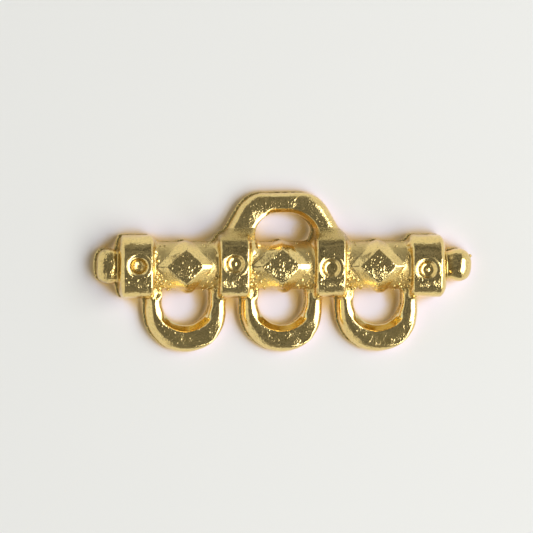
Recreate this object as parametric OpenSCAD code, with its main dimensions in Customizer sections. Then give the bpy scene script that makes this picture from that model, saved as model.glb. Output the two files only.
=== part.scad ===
// Three-strand connector, a jewellery finding cast in one piece.
// A round bar with a flat back carries four collars, a knob at each end, three strand loops
// on one long side and one wide link loop on the other.
// X runs along the bar, +Y points to the link loop, and the flat back lies at Z = 0.

/* [Bar and collars] */
// Diameter of the round bar
bar_d = 3.77; // [3.2:0.05:4.2]
// Height of the bar's axis above the flat back
axis_height = 0.7; // [0.5:0.05:1]
// Distance from one collar to the next, which is the strands' spacing
pitch = 7.64; // [7.4:0.02:8.4]
// Diameter of the collars
collar_d = 5.08; // [4.8:0.02:5.4]
// Width of a collar along the bar
collar_w = 2.4; // [2.2:0.05:2.6]
// Radius of the collars' rounded rims
collar_rim = 0.25; // [0.15:0.05:0.35]
// How far the sloped flare on a collar's inner side runs along the bar
flare_length = 0.5; // [0.3:0.05:0.6]
// How far the sloped end of an outer collar stands out from its rim
end_slope_length = 0.38; // [0.2:0.02:0.5]
// Diameter of the flat on the sloped end of an outer collar
end_flat_d = 3.3; // [3:0.1:3.8]

/* [End knobs] */
// From the middle of the left collar to the tip of the left knob
left_reach = 3.31; // [3.2:0.01:3.6]
// Diameter of the left knob, which is a little flattened
left_knob_d = 2.74; // [2.6:0.02:2.9]
// Thickness of the left knob along the bar
left_knob_w = 1.9; // [1.8:0.05:2.2]
// From the middle of the right collar to the tip of the right knob
right_reach = 3.79; // [3.6:0.01:4]
// Diameter of the right knob
right_knob_d = 2.6; // [2.5:0.02:2.7]
// Thickness of the right knob along the bar
right_knob_w = 2.5; // [2.2:0.05:2.5]
// Diameter of the necks between the collars and the knobs
neck_d = 1.9; // [1.6:0.05:2.1]

/* [Ring dimples] */
// Diameter of a ring dimple at its mouth
dimple_d = 1.8; // [1.6:0.05:1.9]
// Depth of a ring dimple below the front of its collar
dimple_depth = 0.34; // [0.2:0.02:0.4]
// Width of the sloping wall of a ring dimple
dimple_wall = 0.28; // [0.2:0.02:0.34]
// Diameter of the round button in a ring dimple
button_d = 0.9; // [0.7:0.05:0.95]
// Height of the button above the floor of the dimple
button_height = 0.16; // [0.08:0.02:0.2]
// Width of the raised rim around a ring dimple
dimple_rim_w = 0.14; // [0.08:0.02:0.2]
// Height of the raised rim above the collar
dimple_rim_height = 0.06; // [0.02:0.01:0.1]

/* [Lozenges and granules] */
// How far a lozenge's top stands out from the bar
lozenge_height = 0.4; // [0.3:0.05:0.5]
// Half the length of a lozenge's top along the bar and across it
lozenge_top_half = 1.35; // [1.2:0.05:1.45]
// Half the length of a lozenge's foot along the bar
lozenge_foot_half = 2.5; // [2.4:0.05:2.6]
// How far a lozenge's lower corners stand out from the side of the bar
lozenge_side = 0.25; // [0.15:0.05:0.3]
// Diameter of a granule
granule_d = 0.3; // [0.2:0.02:0.32]
// Distance from one granule to the next
granule_step = 0.38; // [0.36:0.01:0.45]

/* [Strand loops] */
// Outer width of a strand loop
strand_loop_w = 6.58; // [6.3:0.02:6.8]
// Width of the eye of a strand loop
strand_eye_w = 3.72; // [3.6:0.02:3.9]
// From the bar's axis to the lowest edge of a strand loop
strand_reach = 6.86; // [6.6:0.02:7.2]
// From the bar's axis to the lowest edge of a strand loop's eye
strand_eye_reach = 4.68; // [4.5:0.02:4.9]
// Thickness of a strand loop
strand_loop_t = 1.25; // [1.1:0.05:1.4]
// Radius of the rounded outer edge of a strand loop
strand_rim = 0.55; // [0.4:0.05:0.6]
// Radius of the rounded lip of an eye
eye_lip = 0.6; // [0.4:0.05:0.7]

/* [Link loop] */
// From the bar's axis to the top edge of the link loop
link_reach = 5.8; // [5.6:0.02:6]
// How far the link loop sits to the right of the middle of the bar
link_offset = 0.15; // [0:0.01:0.2]
// Distance between the centres of the two rounded shoulders
link_shoulder_w = 2.94; // [2.8:0.02:3.2]
// Outer radius of the rounded shoulders
link_shoulder_r = 2.38; // [2.2:0.02:2.5]
// Distance between the centres of the feet, inside the two middle collars
link_foot_w = 7.75; // [7.6:0.05:8]
// Outer radius of the feet
link_foot_r = 1.2; // [1:0.05:1.3]
// How far the feet lie above the bar's axis
link_foot_rise = 1.65; // [1.4:0.05:1.8]
// Thickness of the link loop along its top
link_t = 1.3; // [1.1:0.05:1.5]
// Thickness of the link loop at its feet
link_foot_t = 2.1; // [1.6:0.05:2.2]
// Radius of the rounded edges of the link loop
link_rim = 0.5; // [0.4:0.05:0.55]
// Width of the eye of the link loop
link_eye_w = 4.92; // [4.6:0.02:5.1]
// How far the eye sits to the right of the middle of the bar
link_eye_offset = 0.32; // [0:0.02:0.36]
// From the bar's axis to the top of the link loop's eye
link_eye_reach = 4.18; // [4:0.02:4.4]
// Radius of the upper corners of the link loop's eye
link_eye_r = 1.9; // [1.6:0.05:2]
// Radius of the rounded lip of the link loop's eye
link_lip = 0.45; // [0.3:0.05:0.55]

/* [Hidden] */
$fn = 64;
hull_fn = 32;
granule_fn = 16;
gold = [0.83, 0.68, 0.35];

collars = 4;
bar_r = bar_d / 2;
collar_r = collar_d / 2;
// The bar's middle and axis, placed so that the whole part is centred on X = 0 and Y = 0
middle_x = (left_reach - right_reach) / 2;
axis_y = (strand_reach - link_reach) / 2;
strand_centre_y = strand_loop_w / 2 - strand_reach;
eye_centre_y = strand_eye_w / 2 - strand_eye_reach;
// Off-axis place of each ring dimple, as the hand-cut pattern has them
dimple_shift = [0.09, 0.25, -0.11, -0.27];
// Rounding of the edges on the flat back
back_rim = 0.15;
// Extra length with which a cutter passes its surface
over = 1;

function collar_x(i) = middle_x + (i - (collars - 1) / 2) * pitch;
function gap_x(i) = (collar_x(i) + collar_x(i + 1)) / 2;

// Stands a shape that is turned about Z along the bar instead, with its Z to the right
module on_axis(x) {
    translate([x, axis_y, axis_height]) rotate([0, 90, 0]) children();
}

// Half section of a disc with both its rims rounded, to be turned about Y
module disc_section(r, w, rim) {
    translate([0, -w / 2]) square([r - rim, w]);
    translate([0, rim - w / 2]) square([r, w - 2 * rim]);
    for (side = [-1, 1])
        translate([r - rim, side * (w / 2 - rim)]) circle(rim);
}

module bar() {
    bar_length = (collars - 1) * pitch;
    on_axis(middle_x) cylinder(h = bar_length, r = bar_r, center = true);
}

// A flare or end slope: a short cone that starts in a collar and points to one side
module collar_slope(x, side, start, length, r1, r2) {
    on_axis(x) rotate([0, side < 0 ? 180 : 0, 0])
        translate([0, 0, start]) cylinder(h = length, r1 = r1, r2 = r2);
}

module collar(i) {
    x = collar_x(i);
    slope_start = collar_w / 2 - collar_rim;
    on_axis(x) rotate_extrude() disc_section(collar_r, collar_w, collar_rim);
    for (side = [-1, 1]) {
        outer_end = (i == 0 && side < 0) || (i == collars - 1 && side > 0);
        if (outer_end)
            collar_slope(x, side, slope_start, collar_rim + end_slope_length,
                collar_r - collar_rim / 2, end_flat_d / 2);
        else
            collar_slope(x, side, slope_start, collar_rim + flare_length,
                collar_r - collar_rim, bar_r - collar_rim / 2);
    }
}

// A knob is a disc with a full round rim, so a knob as thick as it is wide is a ball
module knob(tip_x, side, d, w) {
    on_axis(tip_x - side * w / 2) rotate_extrude() {
        translate([0, -w / 2]) square([(d - w) / 2, w]);
        intersection() {
            translate([(d - w) / 2, 0]) circle(w / 2);
            translate([0, -w]) square([d, 2 * w]);
        }
    }
    neck_length = w / 2 + pitch / 10;
    on_axis(tip_x - side * (w + neck_length) / 2)
        cylinder(h = neck_length, d = neck_d, center = true);
}

module dimple_rim(i) {
    rim_r = dimple_d / 2 + dimple_rim_w;
    intersection() {
        on_axis(collar_x(i))
            cylinder(h = collar_w, r = collar_r + dimple_rim_height, center = true);
        translate([collar_x(i), axis_y + dimple_shift[i], axis_height])
            cylinder(h = collar_d, r = rim_r);
    }
}

// What a ring dimple takes out of its collar: a cone with a domed button left standing
module dimple_cut(i) {
    mouth_r = dimple_d / 2;
    floor_z = axis_height + collar_r - dimple_depth;
    floor_r = mouth_r - dimple_wall;
    button_r = button_d / 2;
    // The button is the cap of a sphere that has this radius
    cap_r = (button_r * button_r + button_height * button_height) / (2 * button_height);
    translate([collar_x(i), axis_y + dimple_shift[i], floor_z]) difference() {
        union() {
            cylinder(h = dimple_depth, r1 = floor_r, r2 = mouth_r);
            translate([0, 0, dimple_depth - 0.01]) cylinder(h = over, r = mouth_r);
        }
        translate([0, 0, button_height - cap_r]) sphere(cap_r);
    }
}

// A lozenge: a top that follows the bar, spread down to four rounded corners at its foot
module lozenge(x) {
    corner_r = 0.12;
    top_r = bar_r + lozenge_height;
    foot_z = axis_height + bar_r - corner_r;
    side_y = bar_r + lozenge_side - corner_r;
    side_z = axis_height + bar_r / 6;
    hull() {
        intersection() {
            on_axis(x) cylinder(h = 2 * lozenge_top_half, r = top_r, center = true, $fn = hull_fn * 2);
            translate([x, axis_y, axis_height + bar_r / 2])
                cylinder(h = top_r, r = lozenge_top_half, $fn = 4);
        }
        for (side = [-1, 1]) {
            translate([x + side * (lozenge_foot_half - corner_r), axis_y, foot_z])
                sphere(corner_r, $fn = granule_fn);
            translate([x, axis_y + side * side_y, side_z])
                sphere(corner_r, $fn = granule_fn);
        }
    }
}

// True outside a lozenge's foot, at a distance from its middle along and across the bar
function beside_lozenge(along, across) =
    along / lozenge_foot_half + across / (bar_r + lozenge_side) > 1.14;

// Granules fill the corners between a lozenge and its two collars, in staggered rows
module granules(x) {
    rows = 4;
    beads = 5;
    first = (pitch - collar_w) / 2 - granule_d / 2;
    turn = asin(granule_step / bar_r);
    for (row = [0:rows - 1], bead = [0:beads - 1], side = [-1, 1], half = [-1, 1]) {
        along = first - row * granule_step * 0.9;
        angle = (bead + 0.8 + (row % 2) / 2) * turn;
        across = bar_r * sin(angle);
        if (beside_lozenge(along, across))
            translate([
                x + side * along,
                axis_y + half * across,
                axis_height + bar_r * cos(angle)
            ]) sphere(d = granule_d, $fn = granule_fn);
    }
}

// Section of a loop's outer edge: full width r, a round front edge and a small one at the back
module edge_section(r, t, rim) {
    square([r - rim, t]);
    translate([0, back_rim]) square([r, t - rim - back_rim]);
    translate([r - rim, t - rim]) circle(rim);
    square([r - back_rim, t - rim]);
    translate([r - back_rim, back_rim]) circle(back_rim);
}

// Section of an eye's cutter: half width r, spreading over a rounded lip at the front
module eye_section(r, t, lip) {
    translate([0, -over]) square([r, t + 2 * over]);
    difference() {
        translate([0, t - lip]) square([r + lip, lip + over]);
        translate([r + lip, t - lip]) circle(lip);
    }
}

// Turns a section into a U: a half round below, and straight sides that rise by length
module u_shape(length) {
    rotate([0, 0, 180]) rotate_extrude(angle = 180) children();
    translate([0, length, 0]) rotate([90, 0, 0]) linear_extrude(length) {
        children();
        mirror([1, 0]) children();
    }
}

module strand_loop(x) {
    loop_rise = -strand_centre_y - bar_r / 2;
    difference() {
        translate([x, axis_y + strand_centre_y, 0])
            u_shape(loop_rise) edge_section(strand_loop_w / 2, strand_loop_t, strand_rim);
        translate([x, axis_y + eye_centre_y, 0])
            u_shape(-eye_centre_y) eye_section(strand_eye_w / 2, strand_loop_t, eye_lip);
    }
}

// A disc of the link loop, standing on the flat back
module link_disc(x, y, r, t) {
    translate([x, y, 0]) rotate_extrude($fn = hull_fn)
        edge_section(r, t, link_rim, $fn = hull_fn);
}

module link_eye(x) {
    half_gap = link_eye_w / 2 - link_eye_r;
    top_y = axis_y + link_eye_reach - link_eye_r;
    for (side = [-1, 1])
        translate([x + side * half_gap, top_y, 0]) {
            rotate_extrude() eye_section(link_eye_r, link_t, link_lip);
            // The straight side below each rounded corner
            rotate([90, 0, 0]) linear_extrude(link_eye_reach)
                mirror([side < 0 ? 1 : 0, 0]) eye_section(link_eye_r, link_t, link_lip);
        }
    // The straight stretch between the two rounded corners
    translate([x - half_gap, top_y, 0]) rotate([90, 0, 90]) linear_extrude(2 * half_gap)
        eye_section(link_eye_r, link_t, link_lip);
    translate([x - half_gap, axis_y, -over])
        cube([2 * half_gap, top_y - axis_y, link_foot_t + 2 * over]);
}

module link_loop() {
    x = middle_x + link_offset;
    shoulder_y = axis_y + link_reach - link_shoulder_r;
    difference() {
        hull() for (side = [-1, 1]) {
            link_disc(x + side * link_shoulder_w / 2, shoulder_y, link_shoulder_r, link_t);
            link_disc(x + side * link_foot_w / 2, axis_y + link_foot_rise, link_foot_r, link_foot_t);
        }
        link_eye(middle_x + link_eye_offset);
    }
}

// Everything that rises from the bar, before the flat back is cut
module front_relief() {
    bar();
    for (i = [0:collars - 1]) {
        collar(i);
        dimple_rim(i);
    }
    for (i = [0:collars - 2]) {
        lozenge(gap_x(i));
        granules(gap_x(i));
    }
    knob(collar_x(0) - left_reach, -1, left_knob_d, left_knob_w);
    knob(collar_x(collars - 1) + right_reach, 1, right_knob_d, right_knob_w);
}

module flat_back_cut() {
    size = 2 * (pitch * collars + link_reach);
    translate([0, 0, -size / 2]) cube(size, center = true);
}

module connector_casting() {
    color(gold) difference() {
        union() {
            front_relief();
            for (i = [0:collars - 2]) strand_loop(gap_x(i));
            link_loop();
        }
        flat_back_cut();
        for (i = [0:collars - 1]) dimple_cut(i);
    }
}

connector_casting();
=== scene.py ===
"""A three-strand connector, a gold-plated jewellery finding cast in one piece, on a pale floor.

The casting's form is one signed distance field in millimetres: each feature of the casting is a function
that returns how far points are from its surface, and features are blended as metal flows in a mould.
A surface net turns the field into one closed mesh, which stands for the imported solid.
X runs along the bar, +Y points to the link loop, and the flat back lies at Z = 0.
"""

import math
import bpy
import numpy as np
from mathutils import Matrix, Vector


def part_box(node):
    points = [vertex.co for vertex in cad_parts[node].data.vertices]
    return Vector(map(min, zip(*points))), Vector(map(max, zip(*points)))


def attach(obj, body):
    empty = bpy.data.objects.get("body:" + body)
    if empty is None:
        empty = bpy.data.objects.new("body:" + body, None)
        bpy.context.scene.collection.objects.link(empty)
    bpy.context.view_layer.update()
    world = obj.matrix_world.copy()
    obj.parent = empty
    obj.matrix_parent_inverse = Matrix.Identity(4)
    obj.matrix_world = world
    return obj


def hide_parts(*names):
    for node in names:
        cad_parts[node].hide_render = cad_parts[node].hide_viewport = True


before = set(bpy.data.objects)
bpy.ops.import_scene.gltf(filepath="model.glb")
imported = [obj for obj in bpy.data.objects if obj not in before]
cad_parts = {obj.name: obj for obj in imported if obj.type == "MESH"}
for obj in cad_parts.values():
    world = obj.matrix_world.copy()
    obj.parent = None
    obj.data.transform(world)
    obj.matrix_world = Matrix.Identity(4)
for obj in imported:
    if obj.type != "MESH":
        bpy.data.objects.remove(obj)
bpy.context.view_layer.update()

NODE = "connector_casting"
MM = 0.001

# Driving sizes of the casting, in millimetres
BAR_R = 1.885
AXIS_Z = 0.7
PITCH = 7.64
COLLARS = 4
COLLAR_R = 2.54
COLLAR_HALF_W = 1.2
COLLAR_RIM = 0.24
LEFT_REACH = 3.31
LINK_REACH = 5.8

# Where the bar's middle lies in the frame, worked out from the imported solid's box
box_low, box_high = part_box(NODE)
MIDDLE_X = box_low.x / MM + LEFT_REACH + PITCH * (COLLARS - 1) / 2
AXIS_Y = box_high.y / MM - LINK_REACH

COLLAR_X = [(i - (COLLARS - 1) / 2) * PITCH for i in range(COLLARS)]
GAP_X = [(a + b) / 2 for a, b in zip(COLLAR_X, COLLAR_X[1:])]

# Grid step of the mesh, and the grid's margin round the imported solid's box. For settling, the least that the
# field's squared slope counts as, and the furthest move in steps. Then the most triangles that are kept
STEP = 0.055
GRID_MARGIN = 0.32
LEAST_SLOPE = 0.2
FURTHEST_MOVE = 0.5
TRIANGLES = 190000


def smooth_min(a, b, k):
    """The lower of two distances, with the crease between them filled over a width k."""
    h = np.clip(0.5 + 0.5 * (b - a) / k, 0.0, 1.0)
    return b + (a - b) * h - k * h * (1.0 - h)


def smooth_max(a, b, k):
    return -smooth_min(-a, -b, k)


def smooth_step(low, high, value):
    t = np.clip((value - low) / (high - low), 0.0, 1.0)
    return t * t * (3.0 - 2.0 * t)


def rounded_edge(a, b, r):
    """Distance to the edge where two faces at distances a and b meet, rounded to radius r."""
    a = a + r
    b = b + r
    return np.minimum(np.maximum(a, b), 0.0) + np.hypot(np.maximum(a, 0.0), np.maximum(b, 0.0)) - r


def oval_edge(a, b, ra, rb):
    """The edge where two faces at distances a and b meet, rounded to an ellipse.

    The ellipse's half widths are ra across the first face and rb across the second.
    """
    across = np.maximum(a + ra, 0.0)
    up = np.maximum(b + rb, 0.0)
    level = np.hypot(across / ra, up / rb)
    slope = np.hypot(across / ra ** 2, up / rb ** 2)
    curved = (level - 1.0) * level / np.maximum(slope, 1e-6)
    return np.where((across > 0.0) & (up > 0.0), curved, np.maximum(a, b))


def between(left, right, amount):
    return left + (right - left) * amount


def from_axis(y, z, squareness=2.0):
    """Distance from the bar's axis, or a squarer measure of it on the front's lower side."""
    rise = z - AXIS_Z
    round_r = np.hypot(y, rise)
    square_r = (np.abs(y) ** squareness + np.abs(rise) ** squareness) ** (1.0 / squareness)
    return np.where(rise > 0.0, square_r, round_r)


def bar(x, y, z):
    return np.maximum(np.hypot(y, z - AXIS_Z) - BAR_R, np.abs(x) - COLLAR_X[-1])


# Collars: how square their section is on the strand side and on the link side
STRAND_SIDE_SQUARENESS = 3.4
LINK_SIDE_SQUARENESS = [2.2, 3.2, 3.2, 2.2]
# How far each collar's link side is worn back, and the Y where the wear starts and where it is full
LINK_SIDE_WEAR = [0.07, 0.0, 0.0, 0.11]
WEAR_RANGE = (0.0, 1.0)
# The outer collars' pillowed ends: how far the left and the right one bulge, where the bulge begins, and how
# far it reaches back into the collar
END_BULGE = (0.38, 0.45)
END_FLAT_R = 1.1
END_OVERLAP = 0.1


def collar(x, y, z, i):
    strand_side = from_axis(y, z, STRAND_SIDE_SQUARENESS)
    worn_y = y + LINK_SIDE_WEAR[i] * smooth_step(*WEAR_RANGE, y)
    link_side = from_axis(worn_y, z, LINK_SIDE_SQUARENESS[i])
    r = np.where(y < 0.0, strand_side, link_side)
    along = x - COLLAR_X[i]
    d = rounded_edge(r - COLLAR_R, np.abs(along) - COLLAR_HALF_W, COLLAR_RIM)
    if i in (0, COLLARS - 1):
        outward = along if i else -along
        bulge = END_BULGE[1] if i else END_BULGE[0]
        d = np.minimum(d, end_pillow(outward, r, bulge))
    return d


def end_pillow(outward, r, bulge):
    """The bulged end of an outer collar: a quarter of an ellipse turned about the axis."""
    start = COLLAR_HALF_W - COLLAR_RIM / 2
    reach = bulge + COLLAR_RIM / 2
    fall = COLLAR_R - END_FLAT_R
    a = np.maximum(outward - start, 0.0) / reach
    b = np.maximum(r - END_FLAT_R, 0.0) / fall
    level = np.hypot(a, b)
    slope = np.hypot(a / reach, b / fall) / np.maximum(level, 1e-6)
    d = (level - 1.0) / np.maximum(slope, 1.0 / fall)
    return np.maximum(d, start - END_OVERLAP - outward)


# End knobs, a row for the left one and one for the right: radius, half thickness along the bar,
# how far out its middle lies from the collar's middle, how square it is, and its neck's radius and fillet
KNOBS = {
    -1: (1.37, 1.0, 2.27, 2.6, 1.2, 0.35),
    1: (1.3, 1.03, 2.69, 2.25, 1.12, 0.3),
}
# The right knob's cut end, where the metal flowed in, and the burr left at its corner: distances along the
# bar and across it, radius, how tall it is, and fillet
CUT_END = 3.72
CUT_EDGE = 0.08
BURR = (3.63, 0.72, 0.13)
BURR_TALLNESS = 0.3
BURR_FILLET = 0.05


def knob(x, y, z, side):
    radius, half, centre, n, neck_r, fillet = KNOBS[side]
    along = side * x - COLLAR_X[-1]
    rise = np.abs(z - AXIS_Z)
    r = (np.abs(y) ** n + rise ** n) ** (1.0 / n)
    level = ((r / radius) ** n + (np.abs(along - centre) / half) ** n) ** (1.0 / n)
    ball = (level - 1.0) * min(half, radius)
    neck = np.maximum(r - neck_r, np.abs(along - centre / 2) - centre / 2)
    d = smooth_min(ball, neck, fillet)
    if side > 0:
        d = smooth_max(d, along - CUT_END, CUT_EDGE)
        burr_x, burr_y, burr_r = BURR
        off = (along - burr_x) ** 2 + (y - burr_y) ** 2 + BURR_TALLNESS * rise ** 2
        d = smooth_min(d, np.sqrt(off) - burr_r, BURR_FILLET)
    return d


# Lozenges: a four-sided pyramid wrapped round the bar, with its top cut off by a flatter curve and its
# right-hand ridge planed off. Rows: half length of the foot to the left and to the right, and where the
# planing begins
LOZENGES = [
    (2.6, 2.35, 1.22),
    (2.75, 2.35, 1.18),
    (2.4, 2.3, 1.3),
]
LOZENGE_FOOT_ACROSS = 2.55
LOZENGE_PEAK = 0.97
LOZENGE_HEIGHT = 0.4
LOZENGE_TOP_R = 2.7
LOZENGE_EDGE = 0.03
RIDGE_FALL = 0.38
# What turns a height over the flanks and over the planed ridge into a distance
FLANK_FACTOR = 0.87
RIDGE_FACTOR = 0.94
# The blob of metal at each lozenge's strand-side corner: distances along the bar, across it and up from its
# axis, and radius
BLOB = (0.2, -1.6, 0.45, 0.56)
BLOB_FILLET = 0.3


def lozenge(x, y, z, i):
    left, right, planed = LOZENGES[i]
    along = x - GAP_X[i]
    height = np.hypot(y, z - AXIS_Z) - BAR_R
    level = np.maximum(along / right, -along / left) + np.abs(y) / LOZENGE_FOOT_ACROSS
    flanks = (height - LOZENGE_PEAK * (1.0 - level)) * FLANK_FACTOR
    crest = AXIS_Z + BAR_R + LOZENGE_HEIGHT
    top = np.hypot(y, z - crest + LOZENGE_TOP_R) - LOZENGE_TOP_R
    ridge = (z - crest + RIDGE_FALL * (along - planed)) * RIDGE_FACTOR
    d = smooth_max(smooth_max(flanks, top, LOZENGE_EDGE), ridge, LOZENGE_EDGE)
    blob_x, blob_y, blob_z, blob_r = BLOB
    blob = np.sqrt((along - blob_x) ** 2 + (y - blob_y) ** 2 + (z - AXIS_Z - blob_z) ** 2) - blob_r
    return smooth_min(d, blob, BLOB_FILLET)


# Granules: radius, how deep they sit, spacing, and how much their places wander. The share of places left
# bare goes by the corner: left or right of the lozenge, then strand side or link side. On the left it is
# lower in the row at the collar, by the factor under it
GRANULE_R = 0.135
GRANULE_SINK = 0.02
GRANULE_STEP = 0.36
GRANULE_WANDER = 0.08
GRANULE_GAPS = {(-1, -1): 0.2, (1, -1): 0.35, (-1, 1): 0.85, (1, 1): 0.7}
GRANULE_FIRST_ROW = 0.5
GRANULE_FILLET = 0.04
GRANULE_SEED = 7
# Rows along the bar, places in each row, how far the first row lies from the collar, how close the rows are,
# the smallest and the largest size, and the angle from the front at which the rows end
GRANULE_ROWS = 4
GRANULE_PLACES = 9
GRANULE_INSET = 0.22
GRANULE_ROW_STEP = 0.95
GRANULE_SIZES = (0.75, 1.15)
GRANULE_LAST_ANGLE = 1.4
# How far out from a lozenge's foot they begin, how many of its radii a granule counts for, and the distance
# where none does
GRANULE_CLEARANCE = 1.05
GRANULE_REACH = 2.5
GRANULE_FAR = 9.0


def granule_places():
    """Places and radii of the granules in the corners between the lozenges and the collars."""
    random = np.random.default_rng(GRANULE_SEED)
    deep = BAR_R - GRANULE_SINK
    places = []
    first = PITCH / 2 - COLLAR_HALF_W - GRANULE_INSET
    for gap_x in GAP_X:
        for side, half in GRANULE_GAPS:
            for row in range(GRANULE_ROWS):
                for bead in range(GRANULE_PLACES):
                    along = first - row * GRANULE_STEP * GRANULE_ROW_STEP
                    angle = (bead + 0.5 + (row % 2) / 2) * GRANULE_STEP / BAR_R
                    wander = random.normal(0.0, GRANULE_WANDER, 2)
                    size = GRANULE_R * random.uniform(*GRANULE_SIZES)
                    gaps = GRANULE_GAPS[side, half]
                    if row == 0 and side < 0:
                        gaps *= GRANULE_FIRST_ROW
                    bare = random.uniform() < gaps
                    across = BAR_R * math.sin(angle)
                    off = along / LOZENGES[0][0] + across / LOZENGE_FOOT_ACROSS
                    if bare or angle > GRANULE_LAST_ANGLE or off <= GRANULE_CLEARANCE:
                        continue
                    turn = angle + wander[0] / BAR_R
                    places.append((
                        gap_x + side * (along + wander[1]),
                        half * deep * math.sin(turn),
                        AXIS_Z + deep * math.cos(turn),
                        size,
                    ))
    return np.array(places)


GRANULES = granule_places()


def granules(x, y, z, places):
    d = np.full(x.shape, GRANULE_FAR)
    for px, py, pz, radius in places:
        close = np.nonzero(np.abs(x - px) < GRANULE_REACH * radius)[0]
        gap = np.sqrt((x[close] - px) ** 2 + (y[close] - py) ** 2 + (z[close] - pz) ** 2) - radius
        d[close] = np.minimum(d[close], gap)
    return d


def ridge_fall(outer, eye, blunt, outer_slope, eye_slope):
    """How far a loop's top has dropped below the blunt ridge that runs midway between outline and eye.

    The slopes are those of the two sides, and outer and eye are the distances to the outline and the eye.
    """
    off = (eye - outer) / 2.0
    reach = np.sqrt(off * off + blunt * blunt)
    slope = (outer_slope + eye_slope + (eye_slope - outer_slope) * off / reach) / 2.0
    return slope * (reach - blunt)


# Strand loops: outline, eye, ridge height, the eye's extra width at the back, and the edge round the eye.
# Then pairs for the left limb and the bottom, and for the right limb: how blunt the ridge is, its slopes
# to the outline and to the eye, and the outer edge's half widths across and up
STRAND_X = 0.04
STRAND_OUTER_R = 3.21
STRAND_REACH = 6.84
STRAND_EYE_R = 1.9
STRAND_EYE_REACH = 4.7
STRAND_EYE_BACK = 0.12
STRAND_T = 1.4
STRAND_LIP_EDGE = 0.4
STRAND_BLUNT = (0.12, 0.34)
STRAND_OUTER_SLOPE = (0.04, 0.44)
STRAND_EYE_SLOPE = (0.36, 0.34)
STRAND_OUTER_RA = (0.7, 0.32)
STRAND_OUTER_RB = (0.95, 0.5)
# The lower left's outer edge is wider, and past the right limb it is much tighter. The bottom's ridge is
# blunter and flatter, and a steep flank leads from it down to the eye
LOWER_LEFT_RA = 0.25
LOWER_RIGHT_TIGHTNESS = 0.65
BOTTOM_BLUNT = 0.4
BOTTOM_FLATNESS = 0.75
FLANK_W = 0.5
FLANK_TILT = math.radians(50)
FLANK_DROP = 0.1
FLANK_EDGE = 0.1
# Where those parts of a loop start and where they are full, as sines of the angle round the eye
RIGHT_LIMB = (0.0, 0.7)
BOTTOM = (0.35, 0.68)
LOWER_LEFT = (0.6, 0.95)
LOWER_RIGHT = (0.68, 0.84)
# Where the left limb nears the bar, and how much less its eye side slopes there
NEAR_BAR = (-2.9, -2.35)
NEAR_BAR_EASE = 0.7
# What turns a height over a loop's top into a distance, the edge between its outer and its eye side, and the
# least distance from the eye's middle that counts
STRAND_TOP_FACTOR = 0.95
LOOP_EDGE = 0.08
LEAST_EYE_R = 0.3


def strand_eye_r(x, y, gap_x):
    """Distance from the middle of a strand loop's eye, which is a slot that runs up to the bar."""
    return np.hypot(x - gap_x - STRAND_X, np.minimum(y - STRAND_EYE_R + STRAND_EYE_REACH, 0.0))


def strand_loop(x, y, z, i):
    across = x - GAP_X[i] - STRAND_X
    outer_y = STRAND_OUTER_R - STRAND_REACH
    outer = np.hypot(across, np.minimum(y - outer_y, 0.0)) - STRAND_OUTER_R
    below = np.minimum(y - STRAND_EYE_R + STRAND_EYE_REACH, 0.0)
    eye_r = np.maximum(strand_eye_r(x, y, GAP_X[i]), LEAST_EYE_R)
    eye = STRAND_EYE_R + STRAND_EYE_BACK * (z < PARTING_Z) - eye_r
    right = smooth_step(*RIGHT_LIMB, across / eye_r)
    bottom = smooth_step(*BOTTOM, -below / eye_r)
    blunt = between(between(*STRAND_BLUNT, right), BOTTOM_BLUNT, bottom)
    outer_slope = between(*STRAND_OUTER_SLOPE, right) * (1.0 - bottom)
    eased = 1.0 - NEAR_BAR_EASE * (1.0 - right) * smooth_step(*NEAR_BAR, y)
    eye_slope = between(*STRAND_EYE_SLOPE, right) * (1.0 - BOTTOM_FLATNESS * bottom) * eased
    fall = ridge_fall(outer, eye, blunt, outer_slope, eye_slope)
    top = (z - STRAND_T + fall) * STRAND_TOP_FACTOR
    lower_left = smooth_step(*LOWER_LEFT, -(across + below) / (math.sqrt(2.0) * eye_r))
    lower_right = right * smooth_step(*LOWER_RIGHT, -below / eye_r)
    tight = 1.0 - LOWER_RIGHT_TIGHTNESS * lower_right
    outer_ra = (between(*STRAND_OUTER_RA, right) + LOWER_LEFT_RA * lower_left) * tight
    body = oval_edge(outer, top, outer_ra, between(*STRAND_OUTER_RB, right) * tight)
    lip = rounded_edge(eye, top, STRAND_LIP_EDGE * eased)
    flank_z = z - STRAND_T + FLANK_DROP
    flank = (eye + FLANK_W) * math.sin(FLANK_TILT) + flank_z * math.cos(FLANK_TILT)
    lip = between(lip, smooth_max(lip, flank, FLANK_EDGE), bottom)
    return np.maximum(smooth_max(body, lip, LOOP_EDGE), y)


# Link loop: two rounded shoulders over two feet that stand in the middle collars
LINK_OFFSET = 0.15
SHOULDER_HALF_W = 1.47
SHOULDER_R = 2.38
FOOT_HALF_W = 3.875
FOOT_R = 1.2
FOOT_RISE = 1.65
LINK_T = 1.45
LINK_FOOT_T = 2.3
LINK_FOOT_RAMP = (3.05, 1.9)
# How much the legs rise before that ramp, and from where
LEG_RISE = 0.1
LEG_TOP = 4.2
LINK_BLUNT = 0.5
LINK_SLOPE = 0.09
LINK_FOOT_EDGE = 0.1
# Pairs for the left and the right: the outer edge's half widths across and up
LINK_OUTER_RA = (0.55, 0.8)
LINK_OUTER_RB = (1.0, 0.8)
# The bevel round the eye: its width and tilt, each at the upper left and everywhere else, how far it starts
# under the top, and its edge
LIP_W = (0.21, 0.34)
LIP_TILT = (math.radians(24), math.radians(52))
LIP_DROP = 0.05
LIP_EDGE = 0.08
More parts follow.
